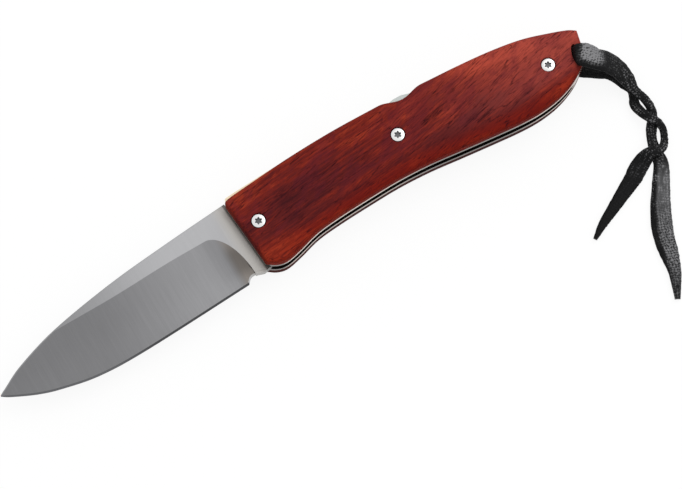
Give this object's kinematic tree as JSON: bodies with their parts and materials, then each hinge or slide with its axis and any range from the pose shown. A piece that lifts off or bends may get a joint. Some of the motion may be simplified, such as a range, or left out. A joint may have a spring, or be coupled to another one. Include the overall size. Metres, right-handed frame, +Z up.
{
  "type": "folding pocket knife",
  "caption": "Slim folding pocket knife with a drop-point blade, a lock bar in the back, wooden handle scales over steel liners and a leather thong.",
  "frame": {"origin": "middle of the knife's foot print, thong left out, on its resting face", "axes": "+X from the blade's tip to the butt, +Y from the edge to the spine, +Z up out of the top scale"},
  "size_m": [0.1815, 0.0808, 0.0127],
  "materials": {
    "wood": "oiled and polished red-brown hardwood",
    "liner_steel": "fine brushed",
    "satin_steel": "satin, brushed across the blade",
    "polished_steel": "polished",
    "spring_steel": "ground",
    "bronze": "lapped",
    "leather": "fine grain, half matt"
  },
  "bodies": {
    "handle": {"top_scale": "wood", "bottom_scale": "wood", "top_liner": "liner_steel", "bottom_liner": "liner_steel", "back_spacer": "liner_steel", "lock_spring": "spring_steel", "washer_top": "bronze", "washer_bottom": "bronze", "pivot_barrel": "polished_steel", "pivot_screw_top": "polished_steel", "pivot_screw_bottom": "polished_steel", "rear_barrel": "polished_steel", "lock_bar_pin": "polished_steel", "spacer_pin_front": "polished_steel", "spacer_pin_rear": "polished_steel", "front_screw_top": "polished_steel", "middle_screw_top": "polished_steel", "rear_screw_top": "polished_steel", "front_screw_bottom": "polished_steel", "middle_screw_bottom": "polished_steel", "rear_screw_bottom": "polished_steel", "thong_top_strand": "leather", "thong_bottom_strand": "leather"},
    "blade": {"blade": "satin_steel"},
    "lock_bar": {"lock_bar": "liner_steel"}
  },
  "joints": [
    {"name": "blade_fold", "type": "hinge", "parent": "handle", "child": "blade", "pos_m": [-0.006, -0.00188, 0.0063], "axis": [0, 0, 1], "range_deg": [0, 176]},
    {"name": "lock_press", "type": "hinge", "parent": "handle", "child": "lock_bar", "pos_m": [0.03, 0.00922, 0.0063], "axis": [0, 0, -1], "range_deg": [-2, 0.6], "stiffness_Nm_per_rad": 1}
  ]
}
